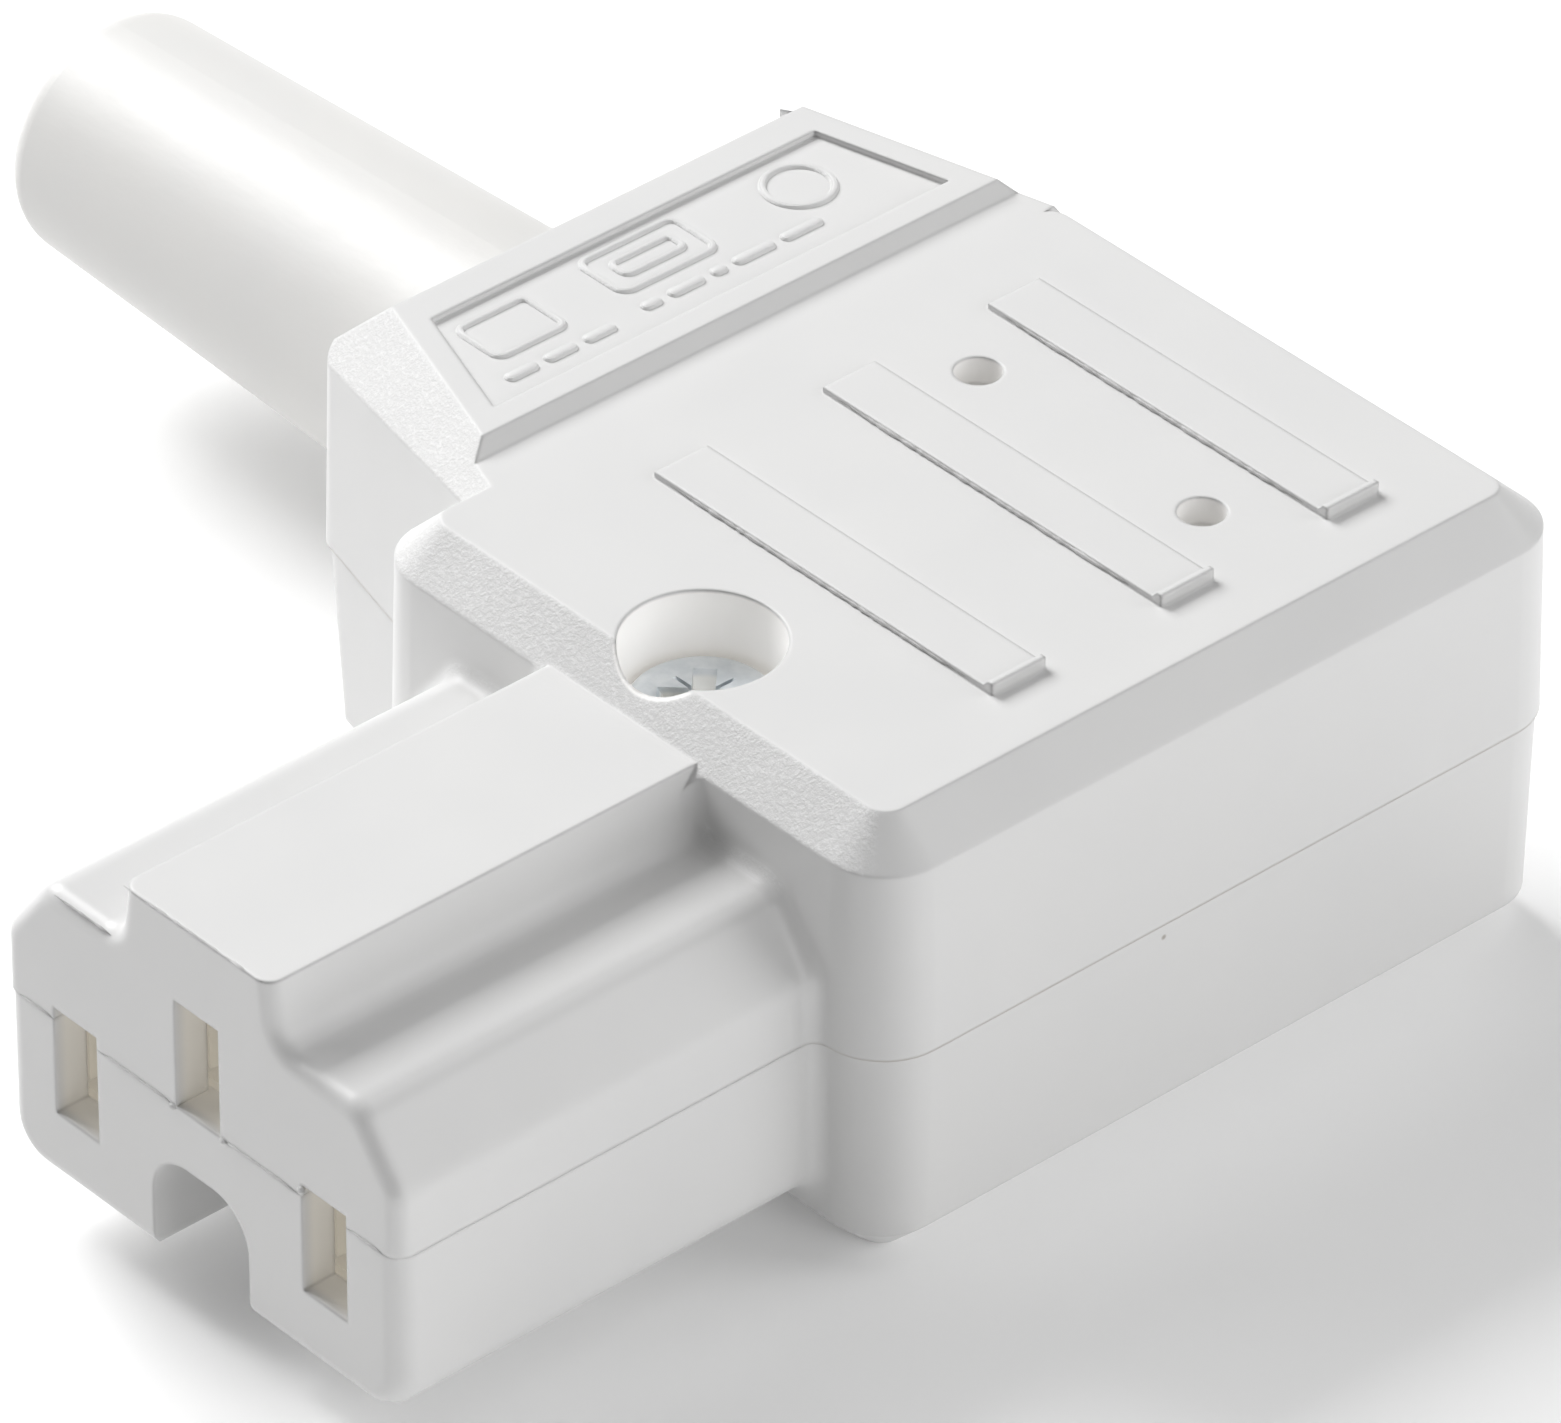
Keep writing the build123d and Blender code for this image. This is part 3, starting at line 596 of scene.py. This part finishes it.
def loft(rings, points, faces):
    """Joins rings of as many points each with faces."""
    first = len(points)
    count = len(rings[0])
    for ring in rings:
        points.extend(ring)
    for row in range(len(rings) - 1):
        here = first + row * count
        there = here + count
        for i in range(count):
            j = (i + 1) % count
            faces.append((here + i, here + j, there + j, there + i))


def raised_ring(centre, half_length, half_width, corner, points, faces):
    """A plain ring of half-round stroke round a rectangle with rounded corners."""
    rings = []
    for i in range(STROKE_STEPS + 1):
        angle = math.pi * i / STROKE_STEPS
        offset = MARK_STROKE / 2 * math.cos(angle)
        height = MARK_HEIGHT * math.sin(angle) - MARK_SINK
        outline = rounded_outline(half_length + offset, half_width + offset, corner + offset)
        rings.append([label_point(centre, u, v, height) for u, v in outline])
    loft(rings, points, faces)


def raised_bar(centre, half_length, points, faces):
    """A plain bar with softened edges and a flat top."""
    rings = []
    for offset, share in BAR_EDGE:
        half_width = (BAR_HALF_WIDTH + offset) * MM
        outline = rounded_outline(half_length + offset * MM, half_width, half_width * BAR_ROUNDING)
        rings.append([label_point(centre, u, v, MARK_HEIGHT * share - MARK_SINK) for u, v in outline])
    loft(rings, points, faces)
    count = len(rings[0])
    faces.append(tuple(range(len(points) - count, len(points))))


def emboss_label(plastic):
    """Plain rings and bars on the label field."""
    points, faces = [], []
    for (x, y), half_length, half_width, corner in LABEL_RINGS:
        raised_ring((x * MM, y * MM), half_length * MM, half_width * MM, corner * MM, points, faces)
    for x, start, lengths in LABEL_ROWS:
        y = start
        for length in lengths:
            centre = (x * MM, (y + length / 2) * MM)
            raised_bar(centre, length / 2 * MM, points, faces)
            y += length + BAR_GAP
    add_piece("label_marks", points, faces, plastic)


def flash_lines():
    """Start, end, radius and crumble of every line of flash, in millimetres."""
    lines = []
    for left, right in PARTING_STRETCHES:
        start = (left, PARTING_FLASH_Y, 0.0)
        end = (right, PARTING_FLASH_Y, 0.0)
        lines.append((start, end, PARTING_FLASH_RADIUS, PARTING_FLASH_CRUMBLE))
    for x, z in NIB_PLACES:
        lines.append(((x - NIB_HALF_LENGTH, 0.0, z), (x + NIB_HALF_LENGTH, 0.0, z), NIB_RADIUS, 0.0))
    for y in RIB_FRONTS:
        start = (RIB_START, y, RIB_FOOT)
        end = (RIB_END, y, RIB_FOOT)
        lines.append((start, end, RIB_FLASH_RADIUS, RIB_FLASH_CRUMBLE))
    return lines + RIDGE_FLASH


def flash_line(curve, start, end, radius, crumble, seed):
    """A thin crumbly line of moulding flash that fades out at both ends."""
    chance = random.Random(seed)
    count = max(FEWEST_FLASH_POINTS, int((end - start).length / FLASH_STEP))
    spline = curve.splines.new("POLY")
    spline.points.add(count - 1)
    for i, point in enumerate(spline.points):
        t = i / (count - 1)
        fade = min(1.0, FLASH_FADE * t, FLASH_FADE * (1 - t))
        point.co = (*start.lerp(end, t), 1.0)
        point.radius = radius * (1 - crumble * chance.random()) * max(fade, THINNEST_FLASH)


def trim_flash(plastic):
    """Moulding flash on the nose and in front of the finger ribs."""
    curve = bpy.data.curves.new("moulding_flash", "CURVE")
    curve.dimensions = "3D"
    curve.bevel_depth = 1.0
    curve.bevel_resolution = 2
    curve.use_fill_caps = True
    curve.materials.append(plastic)
    for seed, (start, end, radius, crumble) in enumerate(flash_lines()):
        flash_line(curve, Vector(start) * MM, Vector(end) * MM, radius * MM, crumble, seed)
    fix_to_housing(bpy.data.objects.new("moulding_flash", curve))


def turned_profile(profile, around=64):
    """Points and faces of a turned piece from its radii and heights, closed at both ends."""
    rings = []
    for radius, height in profile:
        ring = []
        for i in range(around):
            angle = 2 * math.pi * i / around
            ring.append((
                SCREW_AXIS.x + radius * math.cos(angle),
                SCREW_AXIS.y + radius * math.sin(angle),
                height,
            ))
        rings.append(ring)
    points, faces = [], []
    loft(rings, points, faces)
    top = len(points) - around
    faces.append(tuple(reversed(range(around))))
    faces.append(tuple(range(top, top + around)))
    return points, faces


def recess_cutter(half_width, reach, depth, floor_share, first_angle):
    """Tapered wings of a driver recess, as points and faces of a cutter."""
    points, faces = [], []
    axis = Vector((SCREW_AXIS.x, SCREW_AXIS.y, 0.0))
    levels = ((SCREW_HIGH.z - depth, floor_share), (SCREW_HIGH.z + CUTTER_RISE, 1.0))
    for wing in range(RECESS_WINGS):
        angle = math.radians(first_angle + 360 / RECESS_WINGS * wing)
        forward = Vector((math.cos(angle), math.sin(angle), 0.0))
        sideways = Vector((-forward.y, forward.x, 0.0))
        rings = []
        for height, share in levels:
            wing_reach = reach * share
            wing_half = half_width * (WING_NARROWEST + (1 - WING_NARROWEST) * share)
            ring = []
            for along, aside in ((-CUTTER_OVERLAP, -1), (1, -1), (1, 1), (-CUTTER_OVERLAP, 1)):
                point = axis + forward * along * wing_reach + sideways * aside * wing_half
                ring.append((point.x, point.y, height))
            rings.append(ring)
        start = len(points)
        loft(rings, points, faces)
        faces.append((start + 3, start + 2, start + 1, start))
        faces.append((start + 4, start + 5, start + 6, start + 7))
    return points, faces


def cut_away(piece, points, faces):
    """Cuts a closed shape out of a piece for good."""
    mesh = bpy.data.meshes.new("cutter")
    mesh.from_pydata(points, [], faces)
    cutter = bpy.data.objects.new("cutter", mesh)
    bpy.context.scene.collection.objects.link(cutter)
    modifier = piece.modifiers.new("recess", "BOOLEAN")
    modifier.operation = "DIFFERENCE"
    modifier.solver = "EXACT"
    modifier.use_self = True
    modifier.object = cutter
    bpy.context.view_layer.update()
    cut = bpy.data.meshes.new_from_object(piece.evaluated_get(bpy.context.evaluated_depsgraph_get()))
    piece.modifiers.clear()
    piece.data = cut
    bpy.data.objects.remove(cutter)


def screw_profile():
    """Radii and heights of the screw, from the tip of its thread to the middle of its head."""
    foot, head_top = SCREW_LOW.z, SCREW_HIGH.z
    head_radius = (SCREW_HIGH.x - SCREW_LOW.x) / 2
    head_seat = head_top - HEAD_HEIGHT
    profile = [(SCREW_TIP_MIDDLE, foot), (THREAD_CORE - SCREW_TIP_CHAMFER, foot)]
    height = foot + THREAD_START
    while height < head_seat - THREAD_PITCH:
        profile.append((THREAD_CORE, height))
        profile.append((THREAD_CREST, height + THREAD_PITCH * CREST_START_SHARE))
        profile.append((THREAD_CREST, height + THREAD_PITCH * CREST_END_SHARE))
        height += THREAD_PITCH
    profile.append((THREAD_CORE, height))
    profile.append((THREAD_CORE, head_seat))
    profile.append((head_radius - HEAD_CHAMFER, head_seat))
    profile.append((head_radius, head_seat + HEAD_CHAMFER))
    profile.append((head_radius, head_top - HEAD_EDGE))
    for i in range(1, HEAD_DOME_STEPS + 1):
        angle = math.pi / 2 * i / HEAD_DOME_STEPS
        profile.append((
            head_radius - HEAD_DOME_WIDTH * (1 - math.cos(angle)),
            head_top - HEAD_EDGE + HEAD_DOME_RISE * math.sin(angle),
        ))
    profile.append((head_radius * HEAD_FLAT_SHARE, head_top))
    return profile


def turn_screw(zinc):
    """Housing screw with a domed head, a cross recess on the diagonals, star marks and a thread."""
    points, faces = turned_profile(screw_profile())
    screw = add_piece("zinc_housing_screw", points, faces, zinc)
    for recess in (CROSS_RECESS, STAR_MARKS):
        cut_away(screw, *recess_cutter(**recess))
    smooth_up_to(screw.data, 30)
    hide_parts("housing_screw")


def lay_floor():
    """Pale floor right under the housing."""
    mesh = bpy.data.meshes.new("floor")
    corners = [(-1, -1), (1, -1), (1, 1), (-1, 1)]
    points = [(x * FLOOR_HALF, y * FLOOR_HALF, SHELL_FOOT) for x, y in corners]
    mesh.from_pydata(points, [], [(0, 1, 2, 3)])
    mesh.materials.append(pale_floor())
    floor = bpy.data.objects.new("floor", mesh)
    bpy.context.scene.collection.objects.link(floor)


def direction(azimuth, elevation):
    """Unit vector from an azimuth and a height above the floor, in radians."""
    level = math.cos(elevation)
    return Vector((math.cos(azimuth) * level, math.sin(azimuth) * level, math.sin(elevation)))


def hang_softbox(name, azimuth, elevation, strength):
    """A square area light that looks at the middle of the part."""
    away = direction(math.radians(azimuth), math.radians(elevation))
    lamp = bpy.data.lights.new(name, "AREA")
    lamp.shape = "SQUARE"
    lamp.size = SOFTBOX_SIDE
    lamp.energy = SOFTBOX_WATTS * strength
    holder = bpy.data.objects.new(name, lamp)
    holder.location = SOFTBOX_AIM + away * SOFTBOX_DISTANCE
    holder.rotation_mode = "QUATERNION"
    holder.rotation_quaternion = (-away).to_track_quat("-Z", "Y")
    bpy.context.scene.collection.objects.link(holder)


def light_studio():
    """Soft white surroundings and the softboxes."""
    world = bpy.data.worlds.new("studio")
    world.use_nodes = True
    background = world.node_tree.nodes["Background"]
    background.inputs["Color"].default_value = grey(1.0)
    background.inputs["Strength"].default_value = WORLD_STRENGTH
    bpy.context.scene.world = world
    for name, (azimuth, elevation, strength) in SOFTBOXES.items():
        hang_softbox(name, azimuth, elevation, strength)


def set_camera():
    """Camera on the photograph's viewpoint."""
    aim = direction(math.radians(CAMERA_AZIMUTH + 90), -math.radians(CAMERA_ELEVATION))
    data = bpy.data.cameras.new("camera")
    data.sensor_width = SENSOR
    data.lens = FOCAL_PIXELS * SENSOR / PHOTO_WIDTH
    data.clip_start = CLIP_START
    data.clip_end = CLIP_END
    camera = bpy.data.objects.new("camera", data)
    upright = aim.to_track_quat("-Z", "Y").to_matrix().to_4x4()
    roll = Matrix.Rotation(math.radians(CAMERA_ROLL), 4, aim)
    camera.matrix_world = Matrix.Translation(CAMERA_PLACE) @ roll @ upright
    bpy.context.scene.collection.objects.link(camera)
    bpy.context.scene.camera = camera


def write_sizes():
    """Only brings the view layer up to date."""
    bpy.context.view_layer.update()


bpy.context.scene.view_settings.view_transform = "Standard"
plastic = moulded_housing()
zinc = zinc_plate()
dress_all(plastic, zinc)
emboss_label(plastic)
trim_flash(plastic)
turn_screw(zinc)
lay_floor()
light_studio()
set_camera()
write_sizes()
